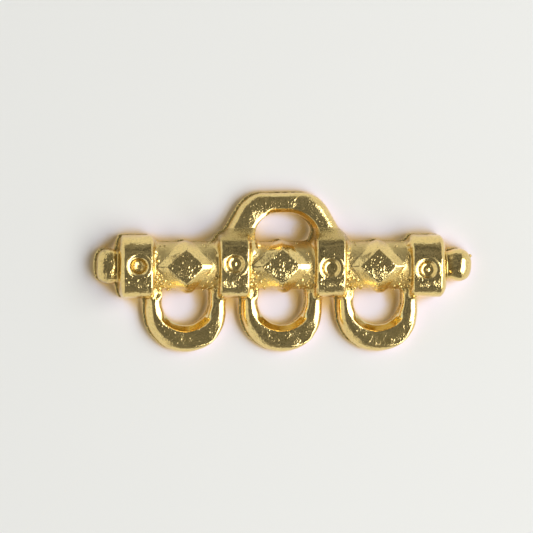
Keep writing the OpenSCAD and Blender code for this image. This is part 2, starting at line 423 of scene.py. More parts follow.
# Where the right's values take over, and the rest of the bevel's, as shares of half the link's width
LINK_HALF_SPAN = 2.5
LINK_RIGHT = (-0.2, 0.8)
PAST_UPPER_LEFT = (-0.6, -0.35)
LINK_EYE_X = 0.32
LINK_EYE_HALF_W = 2.46
LINK_EYE_REACH = 4.18
LINK_EYE_LEFT_R = 1.85
LINK_EYE_RIGHT_R = 2.2


def tapered_bar(x, y, ax, ay, bx, by, ra, rb):
    """Distance, seen from above, to the hull of two discs at a and b."""
    px, py = x - ax, y - ay
    dx, dy = bx - ax, by - ay
    h = dx * dx + dy * dy
    qx = np.abs(px * dy - py * dx) / h
    qy = (px * dx + py * dy) / h
    b = ra - rb
    c = math.sqrt(h - b * b)
    k = c * qy - b * qx
    n = qx * qx + qy * qy
    at_a = np.sqrt(h * n) - ra
    at_b = np.sqrt(np.maximum(h * (n + 1.0 - 2.0 * qy), 0.0)) - rb
    slanted = c * qx + b * qy - ra
    return np.where(k < 0.0, at_a, np.where(k > c, at_b, slanted))


def link_eye(x, y):
    """Depth inside the link loop's eye, seen from above: an arch with two corner radii."""
    across = x - LINK_EYE_X
    r = np.where(across < 0.0, LINK_EYE_LEFT_R, LINK_EYE_RIGHT_R)
    side = np.abs(across) - (LINK_EYE_HALF_W - r)
    up = y - (LINK_EYE_REACH - r)
    outside = np.hypot(np.maximum(side, 0.0), np.maximum(up, 0.0))
    return r - outside - np.minimum(np.maximum(side, up), 0.0)


def link_loop(x, y, z):
    shoulder_y = LINK_REACH - SHOULDER_R
    outline = np.abs(x - LINK_OFFSET) - SHOULDER_HALF_W
    outline = np.maximum(outline, y - LINK_REACH)
    for side in (-1, 1):
        leg = tapered_bar(
            x, y,
            LINK_OFFSET + side * SHOULDER_HALF_W, shoulder_y,
            LINK_OFFSET + side * FOOT_HALF_W, FOOT_RISE,
            SHOULDER_R, FOOT_R,
        )
        outline = np.minimum(outline, leg)
    ramp_start, ramp_end = LINK_FOOT_RAMP
    rise = np.clip((ramp_start - y) / (ramp_start - ramp_end), 0.0, 1.0)
    eye = link_eye(x, y)
    rightward = (x - LINK_OFFSET) / LINK_HALF_SPAN
    level = z - between(LINK_T + LEG_RISE * smooth_step(LEG_TOP, ramp_start, y), LINK_FOOT_T, rise)
    top = level + ridge_fall(outline, eye, LINK_BLUNT, LINK_SLOPE, LINK_SLOPE)
    right = smooth_step(*LINK_RIGHT, rightward)
    body = oval_edge(outline, top, between(*LINK_OUTER_RA, right), between(*LINK_OUTER_RB, right))
    elsewhere = smooth_step(*PAST_UPPER_LEFT, rightward)
    tilt = between(*LIP_TILT, elsewhere)
    bevel = (eye + between(*LIP_W, elsewhere)) * np.sin(tilt) + (top + LIP_DROP) * np.cos(tilt)
    lip = rounded_edge(eye, smooth_max(top, bevel, LIP_EDGE), LIP_EDGE)
    return smooth_max(smooth_max(body, lip, LOOP_EDGE), FOOT_RISE - FOOT_R - y, LINK_FOOT_EDGE)


# Ring dimples, one row for each: place off the axis along and across the bar, depth of the bowl, and
# the dot's height
DIMPLES = [
    (0.0, 0.09, 0.28, 0.0),
    (0.0, 0.25, 0.06, 0.05),
    (-0.03, -0.11, 0.0, 0.0),
    (0.0, -0.27, 0.04, 0.09),
]
DIMPLE_R = 0.93
# The wall's outline: distances from the middle, and depths under the collar's crest
WALL_R = (0.0, 0.38, 0.5, 0.62, 0.76, 0.93)
WALL_DEPTH = (0.3, 0.3, 0.27, 0.18, 0.045, 0.0)
BOWL_R = 0.6
DOT_R = 0.13
DIMPLE_RIM_W = 0.05
DIMPLE_OVERLAP = 0.02
# Offsets over which the wall's outline is averaged, to soften its corners
WALL_SPREAD = (-0.03, -0.015, 0.0, 0.015, 0.03)


def dimple_r(x, y, i):
    """Distance from the middle of a collar's dimple, seen from above."""
    shift_x, shift_y = DIMPLES[i][:2]
    return np.hypot(x - COLLAR_X[i] - shift_x, y - shift_y)


def dimple_top(r, bowl, dot):
    """How far the dimple's floor lies under the collar's crest, at a distance r from its middle."""
    wall = sum(np.interp(r + s, WALL_R, WALL_DEPTH) for s in WALL_SPREAD) / len(WALL_SPREAD)
    dish = bowl * np.clip(1.0 - (r / BOWL_R) ** 2, 0.0, 1.0)
    middle = dot * np.exp(-((r / DOT_R) ** 2))
    return middle - wall - dish


def dimple_cut(x, y, z, i):
    """Positive where a ring dimple is open."""
    bowl, dot = DIMPLES[i][2:]
    r = dimple_r(x, y, i)
    surface = AXIS_Z + COLLAR_R + dimple_top(r, bowl, dot)
    return np.minimum(z - surface, DIMPLE_R + DIMPLE_OVERLAP - r)


def dimple_rim(x, y, z, i):
    """A thin raised ring that follows the collar's front."""
    front = np.hypot(y, z - AXIS_Z) - COLLAR_R
    return np.hypot(dimple_r(x, y, i) - DIMPLE_R - DIMPLE_RIM_W / 2, front) - DIMPLE_RIM_W


# The back half of the mould sat a little off, which leaves a fine ledge along the parting line
MOULD_SHIFT = (-0.2, 0.06)
PARTING_Z = 0.55
PARTING_STEP = 0.012

# Fillets where features meet. The collars' are wider on the link side
LOZENGE_FILLET = 0.05
COLLAR_FILLET = 0.28
LINK_SIDE_FILLET = 0.55
LINK_SIDE = (0.6, 1.8)
KNOB_FILLET = 0.15
STRAND_FILLET = 0.35
LINK_FILLET = 0.6
DIMPLE_FILLET = 0.1
DIMPLE_EDGE = 0.05
BACK_EDGE = 0.12

# The box round each feature's middle that it is worked out in: half its length along the bar, and its lowest
# and highest Y. The knobs' middles lie this far out from the last collar, and the dimples over this height
LOZENGE_BOX = (3.0, -2.8, 2.8)
COLLAR_BOX = (2.4, -3.4, 3.4)
KNOB_BOX = (2.2, -2.2, 2.2)
KNOB_OUT = 2.2
STRAND_BOX = (3.8, -7.4, 0.2)
LINK_BOX = (6.0, 0.0, 6.6)
DIMPLE_BOX = (1.4, -1.6, 1.6)
DIMPLE_LOW = 2.0

# The slow swells of the cast faces: their lengths and heights, and how many waves make up each
SWELLS = ((3.1, 0.014), (1.7, 0.01), (0.9, 0.006), (0.55, 0.003))
SWELL_WAVES = 4
SWELL_SEED = 21


def unevenness(x, y, z):
    """Slow swells of a hand-finished casting, as a sum of waves in fixed random directions."""
    random = np.random.default_rng(SWELL_SEED)
    total = np.zeros(x.shape)
    for length, height in SWELLS:
        for _ in range(SWELL_WAVES):
            wave = random.normal(size=3)
            wave *= 2.0 * math.pi / (length * np.linalg.norm(wave))
            phase = random.uniform(0.0, 2.0 * math.pi)
            total += 0.5 * height * np.sin(wave[0] * x + wave[1] * y + wave[2] * z + phase)
    return total


def within(x, y, centre, half_x, low_y, high_y):
    return np.nonzero((np.abs(x - centre) < half_x) & (y > low_y) & (y < high_y))[0]


def casting(points):
    """Distance in millimetres from each point to the casting's surface, negative inside it."""
    x = points[:, 0] - MIDDLE_X
    y = points[:, 1] - AXIS_Y
    z = points[:, 2]
    behind = smooth_step(PARTING_Z + PARTING_STEP / 2, PARTING_Z - PARTING_STEP / 2, z)
    x = x - MOULD_SHIFT[0] * behind
    y = y - MOULD_SHIFT[1] * behind
    d = bar(x, y, z)

    def blend(at, shape, k):
        d[at] = smooth_min(d[at], shape, k)

    for i, gap_x in enumerate(GAP_X):
        at = within(x, y, gap_x, *LOZENGE_BOX)
        blend(at, lozenge(x[at], y[at], z[at], i), LOZENGE_FILLET)
        near = GRANULES[np.abs(GRANULES[:, 0] - gap_x) < PITCH / 2]
        blend(at, granules(x[at], y[at], z[at], near), GRANULE_FILLET)
    for i, collar_x in enumerate(COLLAR_X):
        at = within(x, y, collar_x, *COLLAR_BOX)
        fillet = COLLAR_FILLET + LINK_SIDE_FILLET * smooth_step(*LINK_SIDE, y[at])
        blend(at, collar(x[at], y[at], z[at], i), fillet)
    for side in (-1, 1):
        at = within(x, y, side * (COLLAR_X[-1] + KNOB_OUT), *KNOB_BOX)
        blend(at, knob(x[at], y[at], z[at], side), KNOB_FILLET)
    for i, gap_x in enumerate(GAP_X):
        at = within(x, y, gap_x, *STRAND_BOX)
        blend(at, strand_loop(x[at], y[at], z[at], i), STRAND_FILLET)
    at = within(x, y, 0.0, *LINK_BOX)
    blend(at, link_loop(x[at], y[at], z[at]), LINK_FILLET)
    for i, collar_x in enumerate(COLLAR_X):
        at = within(x, y, collar_x, *DIMPLE_BOX)
        at = at[z[at] > DIMPLE_LOW]
        blend(at, dimple_rim(x[at], y[at], z[at], i), DIMPLE_FILLET)
        d[at] = smooth_max(d[at], dimple_cut(x[at], y[at], z[at], i), DIMPLE_EDGE)
    d += unevenness(x, y, z)
    return smooth_max(d, -z, BACK_EDGE)


def grid_values(field, axes, coarse=4, margin=1.2):
    """The field on a grid. Far from the surface only its sign counts, so it is worked out coarsely there."""
    shape = tuple(len(a) for a in axes)
    step = axes[0][1] - axes[0][0]
    rough_axes = [a[::coarse] for a in axes]
    rough = np.empty(tuple(len(a) for a in rough_axes))
    for i, x in enumerate(rough_axes[0]):
        yy, zz = np.meshgrid(rough_axes[1], rough_axes[2], indexing="ij")
        rough[i] = field(np.column_stack((np.full(yy.size, x), yy.ravel(), zz.ravel()))).reshape(yy.shape)
    near = []
    for count, rough_axis in zip(shape, rough_axes):
        nearest = (np.arange(count) + coarse // 2) // coarse
        near.append(np.minimum(nearest, len(rough_axis) - 1))
    values = np.empty(shape)
    reach = margin * coarse * step
    for i, x in enumerate(axes[0]):
        plane = rough[near[0][i]][near[1]][:, near[2]]
        close = np.argwhere(np.abs(plane) < reach)
        points = np.column_stack((np.full(len(close), x), axes[1][close[:, 0]], axes[2][close[:, 1]]))
        plane[tuple(close.T)] = field(points)
        values[i] = plane
    return values


def surface_net(field, low, high, step):
    """Vertices and quads of the surface where the field is 0, one vertex in each cell that it crosses."""
    axes = [np.arange(a - GRID_MARGIN, b + GRID_MARGIN + step, step) for a, b in zip(low, high)]
    values = grid_values(field, axes)
    inside = values < 0.0
    cells = tuple(n - 1 for n in values.shape)
    rings = []
    places = []
    for axis in range(3):
        first = [slice(None)] * 3
        second = [slice(None)] * 3
        first[axis] = slice(0, -1)
        second[axis] = slice(1, None)
        crossing = np.argwhere(inside[tuple(first)] != inside[tuple(second)])
        others = [a for a in range(3) if a != axis]
        for a in others:
            crossing = crossing[(crossing[:, a] > 0) & (crossing[:, a] < cells[a])]
        following = crossing.copy()
        following[:, axis] += 1
        v0 = values[tuple(crossing.T)]
        v1 = values[tuple(following.T)]
        place = crossing.astype(float)
        place[:, axis] += v0 / (v0 - v1)
        ring = np.empty((len(crossing), 4), dtype=np.int64)
        for corner, (da, db) in enumerate(((-1, -1), (0, -1), (0, 0), (-1, 0))):
            cell = crossing.copy()
            cell[:, others[0]] += da
            cell[:, others[1]] += db
            ring[:, corner] = np.ravel_multi_index(cell.T, cells)
        outward = (v0 < 0.0) if axis != 1 else (v0 >= 0.0)
        ring[~outward] = ring[~outward][:, ::-1]
        rings.append(ring)
        places.append(place)
    rings = np.vstack(rings)
    places = np.repeat(np.vstack(places), 4, axis=0)
    number = np.unique(rings.ravel(), return_inverse=True)[1].ravel()
    share = np.bincount(number)
    vertices = np.column_stack([np.bincount(number, weights=places[:, a]) / share for a in range(3)])
    vertices = vertices * step + np.array([a[0] for a in axes])
    return vertices, number.reshape(-1, 4)


def gradient(field, points, reach=0.012):
    slope = np.empty(points.shape)
    for axis in range(3):
        offset = np.zeros(3)
        offset[axis] = reach
        slope[:, axis] = (field(points + offset) - field(points - offset)) / (2.0 * reach)
    return slope


def settle(field, points, rounds=3):
    """Moves the points on to the surface, along the field's slope."""
    for _ in range(rounds):
        slope = gradient(field, points)
        length = np.maximum((slope ** 2).sum(1), LEAST_SLOPE)
        move = slope * (field(points) / length)[:, None]
        points = points - np.clip(move, -FURTHEST_MOVE * STEP, FURTHEST_MOVE * STEP)
    return points


def mesh_object(name, vertices, faces):
    mesh = bpy.data.meshes.new(name)
    mesh.from_pydata((vertices * MM).tolist(), [], faces.tolist())
    mesh.validate()
    mesh.polygons.foreach_set("use_smooth", [True] * len(mesh.polygons))
    piece = bpy.data.objects.new(name, mesh)
    bpy.context.scene.collection.objects.link(piece)
    return piece


def thin_out(piece, most):
    """Merges triangles where the surface is flattest, until no more than most are left."""
    piece.data.calc_loop_triangles()
    ratio = most / len(piece.data.loop_triangles)
    if ratio >= 1.0:
        return
    decimate = piece.modifiers.new("thin_out", "DECIMATE")
    decimate.ratio = ratio
    decimate.use_collapse_triangulate = True
    graph = bpy.context.evaluated_depsgraph_get()
    mesh = bpy.data.meshes.new_from_object(piece.evaluated_get(graph))
    piece.modifiers.clear()
    piece.data = mesh


def vertex_places(mesh):
    flat = np.empty(3 * len(mesh.vertices), dtype=np.float32)
    mesh.vertices.foreach_get("co", flat)
    return flat.reshape(-1, 3).astype(float) / MM


def true_normals(mesh, field):
    """Gives the mesh the field's own normals, so that reflections don't show its triangles."""
    slope = gradient(field, vertex_places(mesh))
    slope /= np.maximum(np.linalg.norm(slope, axis=1), 1e-6)[:, None]
    mesh.normals_split_custom_set_from_vertices(slope.tolist())
    return slope


# The marks tell the gold's material how the surface differs from place to place. Some of them carry painted
# light: a painted reflection of gold in gold, painted shade in crevices and a paler gold painted on the eyes'
# lips.
# Grain, where 0 is smooth: the walls, the bar, each collar's strand side and the rest of it, the left knob,
# the strand loops' bottoms, the ends of their left limbs, the link loop's top and each lozenge's top
WALL_GRAIN = 0.1
BAR_GRAIN = 0.25
COLLAR_GRAIN = [0.75, 0.95, 0.7, 0.6]
COLLAR_REST_GRAIN = 0.4
LEFT_KNOB_GRAIN = 1.2
LOOP_GRAIN = 0.5
LIMB_END_GRAIN = 0.7
LINK_GRAIN = 0.65
PLATEAU_GRAIN = [0.85, 1.3, 1.1]
# Stipple, the mould's fine matt texture: the loops' crests, the lozenges' strand side, the link's feet, and
# the dimples for each millimetre of their bowl's depth
CREST_STIPPLE = 0.13
UNDER_STIPPLE = 0.5
FOOT_STIPPLE = 0.6
BOWL_STIPPLE = 2.0
# Painted bounce, a deeper gold painted where gold would reflect gold: each collar's dimple, the lozenges'
# strand side, the left limbs' ends, the collars' corners and the knobs' necks
DIMPLE_PAINTED_BOUNCE = [0.5, 0.3, 0.3, 0.5]
UNDER_PAINTED_BOUNCE = 0.6
LIMB_END_PAINTED_BOUNCE = 0.5
CORNER_PAINTED_BOUNCE = 0.6
NECK_PAINTED_BOUNCE = 0.6
# Painted shade in crevices: how much less the dimples count, and how much the link's feet count
DIMPLE_RELIEF = 0.6
FOOT_CREVICE_SHADE = 0.5


def region(*limits):
    """How far points are inside a region, from 0 to 1.

    Each limit is a measure of the points, then the value where the region starts and where it is full.
    """
    amount = 1.0
    for measure, start, full in limits:
        amount = amount * smooth_step(start, full, measure)
    return amount


def limb_end(x, y, gap_x):
    """A strand loop's left limb close to the bar."""
    along = x - gap_x
    return region((along, -1.7, -1.9), (along, -3.0, -2.8), (y, -2.9, -2.5), (y, -1.5, -1.8))


def loop_crest(x, y, gap_x):
    """A strand loop's crest."""
    from_eye = strand_eye_r(x, y, gap_x) - STRAND_EYE_R
    return region((from_eye, 0.4, 0.65), (y, -3.6, -4.6), (np.abs(x - gap_x), 3.7, 3.5))


def link_crest(x, y):
    """The link's crest."""
    return region((link_eye(x, y), -0.35, -0.6), (y, 2.4, 3.0))


def lozenge_top(x, y, height, gap_x):
    """A lozenge's flattened top. Heights are measured from the bar's surface, as in the functions below."""
    return region((np.abs(x - gap_x), 1.9, 1.6), (np.abs(y), 1.9, 1.6), (height, 0.3, 0.37))


def collar_front(x, y, height, collar_x):
    """A collar's round front."""
    return region((np.abs(x - collar_x), 1.25, 1.1), (height, 0.45, 0.6), (np.abs(y), 2.6, 2.3))


def grain(x, y, z):
    """How grainy the cast surface is: least on the walls, most on the high places."""
    height = np.hypot(y, z - AXIS_Z) - BAR_R
    amount = between(WALL_GRAIN, BAR_GRAIN, region((np.abs(y), 2.6, 2.2)))
    for i, gap_x in enumerate(GAP_X):
        amount = np.maximum(amount, PLATEAU_GRAIN[i] * lozenge_top(x, y, height, gap_x))
        amount = np.maximum(amount, LOOP_GRAIN * loop_crest(x, y, gap_x))
        amount = np.maximum(amount, LIMB_END_GRAIN * limb_end(x, y, gap_x))
    for i, collar_x in enumerate(COLLAR_X):
        level = between(COLLAR_REST_GRAIN, COLLAR_GRAIN[i], region((y, 0.4, -0.9)))
        amount = np.maximum(amount, level * collar_front(x, y, height, collar_x))
    amount = np.maximum(amount, LEFT_KNOB_GRAIN * region((x, -13.2, -13.5)))
    return np.maximum(amount, LINK_GRAIN * link_crest(x, y))


def under_lozenge(x, y, height, gap_x):
    """A lozenge's strand-side facets."""
    along = np.abs(x - gap_x)
    return region((along, 2.8, 2.5), (y, -2.7, -2.1), (y, -0.15, -0.6), (height, 0.38, 0.32))


def link_foot(x, y):
    """The slopes where the link's legs climb to the collars."""
    return region((y, 1.9, 2.1), (y, 3.1, 2.9), (np.abs(x), 6.2, 5.4))


def bar_corner(x, y, height, i):
    """The bar between a lozenge and the collars beside it, down to the strand side."""
    along = np.abs(x - GAP_X[i])
    off = along / LOZENGES[i][1] + np.abs(y) / LOZENGE_FOOT_ACROSS
    from_collar = PITCH / 2 - COLLAR_HALF_W - along
    return region((off, 0.9, 1.05), (from_collar, -0.1, 0.2), (height, 0.08, 0.03), (y, -2.0, -1.7))


def stipple(x, y, z):
    """How matt it is: the bar's corners and the link's feet kept the mould's fine texture."""
    height = np.hypot(y, z - AXIS_Z) - BAR_R
    amount = FOOT_STIPPLE * link_foot(x, y)
    amount = np.maximum(amount, CREST_STIPPLE * link_crest(x, y))
    for i, gap_x in enumerate(GAP_X):
        amount = np.maximum(amount, bar_corner(x, y, height, i))
        amount = np.maximum(amount, UNDER_STIPPLE * under_lozenge(x, y, height, gap_x))
        amount = np.maximum(amount, CREST_STIPPLE * loop_crest(x, y, gap_x))
    for i in range(COLLARS):
        bowl = region((dimple_r(x, y, i), 0.6, 0.5), (z, 2.0, 2.4))
        amount = np.maximum(amount, BOWL_STIPPLE * DIMPLES[i][2] * bowl)
    return amount


def collar_corner(x, y, height, collar_x):
    """The corner between a collar's side and the bar."""
    along = np.abs(x - collar_x)
    return region((along, 1.15, 1.25), (along, 1.7, 1.4), (np.abs(y), 2.3, 1.5), (height, 0.1, 0.05))


def painted_bounce(x, y, z):
    """How much deeper a gold is painted in the recesses, a painted reflection of the gold lighting itself
    there.
    """
    height = np.hypot(y, z - AXIS_Z) - BAR_R
    along = np.abs(x) - COLLAR_X[-1]
    amount = NECK_PAINTED_BOUNCE * region((along, 1.5, 1.65), (along, 2.3, 2.0))
    for gap_x in GAP_X:
        amount = np.maximum(amount, UNDER_PAINTED_BOUNCE * under_lozenge(x, y, height, gap_x))
        amount = np.maximum(amount, LIMB_END_PAINTED_BOUNCE * limb_end(x, y, gap_x))
    for i, collar_x in enumerate(COLLAR_X):
        amount = np.maximum(amount, CORNER_PAINTED_BOUNCE * collar_corner(x, y, height, collar_x))
        bowl = region((dimple_r(x, y, i), 0.72, 0.6), (z, 2.0, 2.4))
        amount = np.maximum(amount, DIMPLE_PAINTED_BOUNCE[i] * bowl)
    return amount


def lips(x, y):
    """How far a point is on the strand eyes' lips, where a paler gold is painted to offset how they mirror
    gold that mirrors gold.
    """
    amount = np.zeros(len(x))
    for gap_x in GAP_X:
        from_eye = strand_eye_r(x, y, gap_x) - STRAND_EYE_R
        lip = region((from_eye, 0.0, 0.1), (from_eye, 0.5, 0.38), (y, -3.6, -4.3))
        amount = np.maximum(amount, lip)
    return amount


def painted_crevice_shade(places, slope, reach=0.2):
    """How enclosed each point is, which sets the painted shade in grooves and corners: little room in front of
    it means a groove or a corner.

    The dimples count for less, as they are wide and polished. The link's feet count as enclosed.
    """
    amount = np.clip(1.0 - casting(places + reach * slope) / reach, 0.0, 1.0)
    x = places[:, 0] - MIDDLE_X
    y = places[:, 1] - AXIS_Y
    for i in range(COLLARS):
        amount *= 1.0 - DIMPLE_RELIEF * region((dimple_r(x, y, i), 0.9, 0.7))
    return np.maximum(amount, FOOT_CREVICE_SHADE * link_foot(x, y))


def mark(mesh, name, values):
    """Stores an amount for each vertex, for the gold's material to read."""
    layer = mesh.attributes.new(name, "FLOAT", "POINT")
    layer.data.foreach_set("value", values.astype(np.float32))


def build_casting():
    low = np.array(box_low) / MM
    high = np.array(box_high) / MM
    vertices, quads = surface_net(casting, low, high, STEP)
    vertices = settle(casting, vertices)
    vertices[:, 2] = np.maximum(vertices[:, 2], 0.0)
    piece = mesh_object("gold_casting", vertices, quads)
    thin_out(piece, TRIANGLES)
    slope = true_normals(piece.data, casting)
    places = vertex_places(piece.data)
    local = (places[:, 0] - MIDDLE_X, places[:, 1] - AXIS_Y, places[:, 2])
    mark(piece.data, "grain", grain(*local))
    mark(piece.data, "stipple", stipple(*local))
    # Painted reflection: a deeper gold in the recesses where gold would reflect gold
    mark(piece.data, "painted_bounce", painted_bounce(*local))
    # A paler gold painted on the strand eyes' lips, to offset their reflection of gold in gold
    mark(piece.data, "lips", lips(*local[:2]))
    # Painted shade in grooves and corners
    mark(piece.data, "painted_crevice_shade", painted_crevice_shade(places, slope))
    return piece


def new_material(name):
    material = bpy.data.materials.new(name)
    material.use_nodes = True
    tree = material.node_tree
    return material, tree, tree.nodes["Principled BSDF"]


def noise(tree, places, scale, detail):
    node = tree.nodes.new("ShaderNodeTexNoise")
    node.inputs["Scale"].default_value = scale
    node.inputs["Detail"].default_value = detail
    tree.links.new(places, node.inputs["Vector"])
    return node.outputs["Fac"]


def maths(tree, operation, a, b):
    """A node that joins two values, each a socket or a number."""
    node = tree.nodes.new("ShaderNodeMath")
    node.operation = operation
    for value, socket in zip((a, b), node.inputs):
        if isinstance(value, (int, float)):
            socket.default_value = value
        else:
            tree.links.new(value, socket)
    return node.outputs["Value"]


def marked(tree, name):
    node = tree.nodes.new("ShaderNodeAttribute")
    node.attribute_name = name
    return node.outputs["Fac"]


def tinted(tree, a, b, amount):
    """A node that goes from colour a to colour b by amount. Each colour is a socket or a value."""
    node = tree.nodes.new("ShaderNodeMix")
    node.data_type = "RGBA"
    for colour, socket in ((a, node.inputs["A"]), (b, node.inputs["B"])):
        if isinstance(colour, tuple):
            socket.default_value = colour
        else:
            tree.links.new(colour, socket)
    tree.links.new(amount, node.inputs["Factor"])
    return node.outputs["Result"]


def ramp(tree, value, low, high):
    """A node that rises smoothly from 0 to 1 as value goes from low to high."""
    node = tree.nodes.new("ShaderNodeMapRange")
    node.interpolation_type = "SMOOTHSTEP"
    node.inputs["From Min"].default_value = low
    node.inputs["From Max"].default_value = high
    tree.links.new(value, node.inputs["Value"])
    return node.outputs["Result"]


def blend_to(tree, base, level, amount):
    """A node that goes from base to level by amount."""
    node = tree.nodes.new("ShaderNodeMix")
    node.data_type = "FLOAT"
    tree.links.new(amount, node.inputs["Factor"])
    if isinstance(base, float):
        node.inputs["A"].default_value = base
    else:
        tree.links.new(base, node.inputs["A"])
    node.inputs["B"].default_value = level
    return node.outputs["Result"]


def patches(tree, places, scale, detail, low, high):
    """Soft patches, from 0 between them to 1 inside. Scale is how many there are to a unit of places."""
    return ramp(tree, noise(tree, places, scale, detail), low, high)


# Gold: bright, worn, dull between the grains, a deeper gold painted as a reflection of gold in the recesses,
# painted shade in the crevices, and a paler gold painted on the eyes' lips
GOLD = (0.94, 0.72, 0.295, 1.0)
WORN_GOLD = (0.91, 0.675, 0.265, 1.0)
DULL_GOLD = (0.68, 0.52, 0.21, 1.0)
PAINTED_BOUNCE_GOLD = (0.88, 0.61, 0.19, 1.0)
CREVICE_PAINTED_SHADE = (0.52, 0.38, 0.13, 1.0)
LIP_PAINTED_PALE_GOLD = (0.79, 0.77, 0.41, 1.0)
# Patches of each: how many to a millimetre, their detail, and where they begin and are full
WORN_PATCHES = (0.9, 3.0, 0.4, 0.65)
DULL_PATCHES = (7.5, 2.0, 0.42, 0.7)
DULL_SHARE = 0.75
# How enclosed the gold is where the painted crevice shade begins and where it is full, and the shade's share
CREVICE_SHADE_RANGE = (0.12, 0.6)
CREVICE_SHADE_SHARE = 0.8
GOLD_ROUGHNESS = 0.13
ROUGHNESS_SPREAD = 0.12
ROUGHNESS_PATCHES = (4.0, 2.0)
STIPPLE_ROUGHNESS = 0.22
# The grain's two sizes, as places for each millimetre, with their heights in millimetres. The coarse one is
# of low round beads, which fill their cells to this share and vary in height between these shares of chance
COARSE_GRAIN = (4.0, 0.02)
BEAD_FILL = 0.48
BEAD_CHANCE = (0.2, 0.9)
FINE_GRAIN = (8.0, 0.02)
FINE_DETAIL = 1.0
STIPPLE_HEIGHT = 0.05
# How dull the gold looks where it is stippled
STIPPLE_DULLNESS = 0.7


def beads(tree, places):
    """Low round beads, from 0 between them to 1 on top of the highest."""
    cells = tree.nodes.new("ShaderNodeTexVoronoi")
    cells.inputs["Scale"].default_value = COARSE_GRAIN[0]
    tree.links.new(places, cells.inputs["Vector"])
    reach = maths(tree, "DIVIDE", cells.outputs["Distance"], BEAD_FILL)
    dome = maths(tree, "SUBTRACT", 1.0, maths(tree, "POWER", reach, 2.0))
    dome = maths(tree, "MAXIMUM", dome, 0.0)
    parts = tree.nodes.new("ShaderNodeSeparateColor")
    tree.links.new(cells.outputs["Color"], parts.inputs["Color"])
    size = ramp(tree, parts.outputs["Red"], *BEAD_CHANCE)
    return maths(tree, "MULTIPLY", dome, size)


def gold_plate():
    """Bright gold plate over a grained casting."""
    material, tree, shader = new_material("gold_plate")
    place = tree.nodes.new("ShaderNodeTexCoord")
    in_mm = tree.nodes.new("ShaderNodeVectorMath")
    in_mm.operation = "SCALE"
    in_mm.inputs["Scale"].default_value = 1.0 / MM
    tree.links.new(place.outputs["Object"], in_mm.inputs["Vector"])
    places = in_mm.outputs["Vector"]
    grained = marked(tree, "grain")
    stippled = marked(tree, "stipple")
    fine_noise = noise(tree, places, FINE_GRAIN[0], FINE_DETAIL)
    coarse = maths(tree, "MULTIPLY", beads(tree, places), COARSE_GRAIN[1])
    fine = maths(tree, "MULTIPLY", fine_noise, FINE_GRAIN[1])
    height = maths(tree, "MULTIPLY", maths(tree, "ADD", coarse, fine), grained)
    rough = maths(tree, "MULTIPLY", fine_noise, STIPPLE_HEIGHT)
    rough = maths(tree, "MULTIPLY", rough, stippled)
    bump = tree.nodes.new("ShaderNodeBump")
    bump.inputs["Strength"].default_value = 1.0
    bump.inputs["Distance"].default_value = MM
    tree.links.new(maths(tree, "ADD", height, rough), bump.inputs["Height"])
    tree.links.new(bump.outputs["Normal"], shader.inputs["Normal"])
    tone = tinted(tree, GOLD, WORN_GOLD, patches(tree, places, *WORN_PATCHES))
    dull = maths(tree, "MULTIPLY", patches(tree, places, *DULL_PATCHES), DULL_SHARE)
    tone = tinted(tree, tone, DULL_GOLD, dull)
    matt = maths(tree, "MULTIPLY", stippled, STIPPLE_DULLNESS)
    tone = tinted(tree, tone, DULL_GOLD, matt)
    # Painted reflection: a deeper gold in the recesses where gold would reflect gold
    tone = tinted(tree, tone, PAINTED_BOUNCE_GOLD, marked(tree, "painted_bounce"))
    # A paler gold painted on the strand eyes' lips, to offset their reflection of gold in gold
    tone = tinted(tree, tone, LIP_PAINTED_PALE_GOLD, marked(tree, "lips"))
    # Painted shade in grooves and corners
    enclosed = ramp(tree, marked(tree, "painted_crevice_shade"), *CREVICE_SHADE_RANGE)
    enclosed = maths(tree, "MULTIPLY", enclosed, CREVICE_SHADE_SHARE)
    tree.links.new(tinted(tree, tone, CREVICE_PAINTED_SHADE, enclosed), shader.inputs["Base Color"])
    blur = noise(tree, places, *ROUGHNESS_PATCHES)
    blur = maths(tree, "MULTIPLY", blur, ROUGHNESS_SPREAD)
    blur = maths(tree, "ADD", blur, GOLD_ROUGHNESS - ROUGHNESS_SPREAD / 2)
    matt = maths(tree, "MULTIPLY", stippled, STIPPLE_ROUGHNESS)
    tree.links.new(maths(tree, "ADD", blur, matt), shader.inputs["Roughness"])
    shader.inputs["Metallic"].default_value = 1.0
    return material


# The window's azimuth and elevation in degrees, its distance, and its size in metres
WINDOW_PLACE = (-14.0, 50.0)
WINDOW_DISTANCE = 0.6
WINDOW_SIZE = (0.84, 0.37)


def toward(azimuth, elevation):
    """Unit vector to a point of the sky. Azimuth 0 is +X, 90 is +Y."""
    a = math.radians(azimuth)
    e = math.radians(elevation)
    return Vector((math.cos(e) * math.cos(a), math.cos(e) * math.sin(a), math.sin(e)))


# Paper: bare, close to the casting, and where the casting keeps the window's light off it. Close by it takes
# a lavender cast from the room. The shade is olive in the open and golden where gold stands all round it,
# and the gold throws a glow of its own where the shade is deepest
PAPER = (0.785, 0.785, 0.757, 1.0)
NEAR_PAPER = (0.887, 0.832, 0.946, 1.0)
OPEN_SHADE = (0.77, 0.66, 0.50, 1.0)
ENCLOSED_SHADE = (0.83, 0.58, 0.20, 1.0)
CONTACT_SHADE = (0.78, 0.67, 0.46, 1.0)
GLOW = (0.38, 0.32, 0.20, 1.0)
# How far off metal still counts, in millimetres: all round, toward the window, and where they touch
NEAR_REACH = 3.5
SHADE_REACH = 1.5
CONTACT_REACH = 0.7
# How open the paper is where each tone begins and where it is full
NEAR_RANGE = (1.0, 0.54)
ENCLOSED_RANGE = (0.72, 0.55)
TUCKED_RANGE = (0.48, 0.33)
SHADE_RANGE = (0.8, 0.5)
GLOW_RANGE = (0.4, 0.24)
CONTACT_RANGE = (0.62, 0.35)
OPENNESS_SAMPLES = 12
PAPER_ROUGHNESS = 0.9
PAPER_SHINE = 0.1


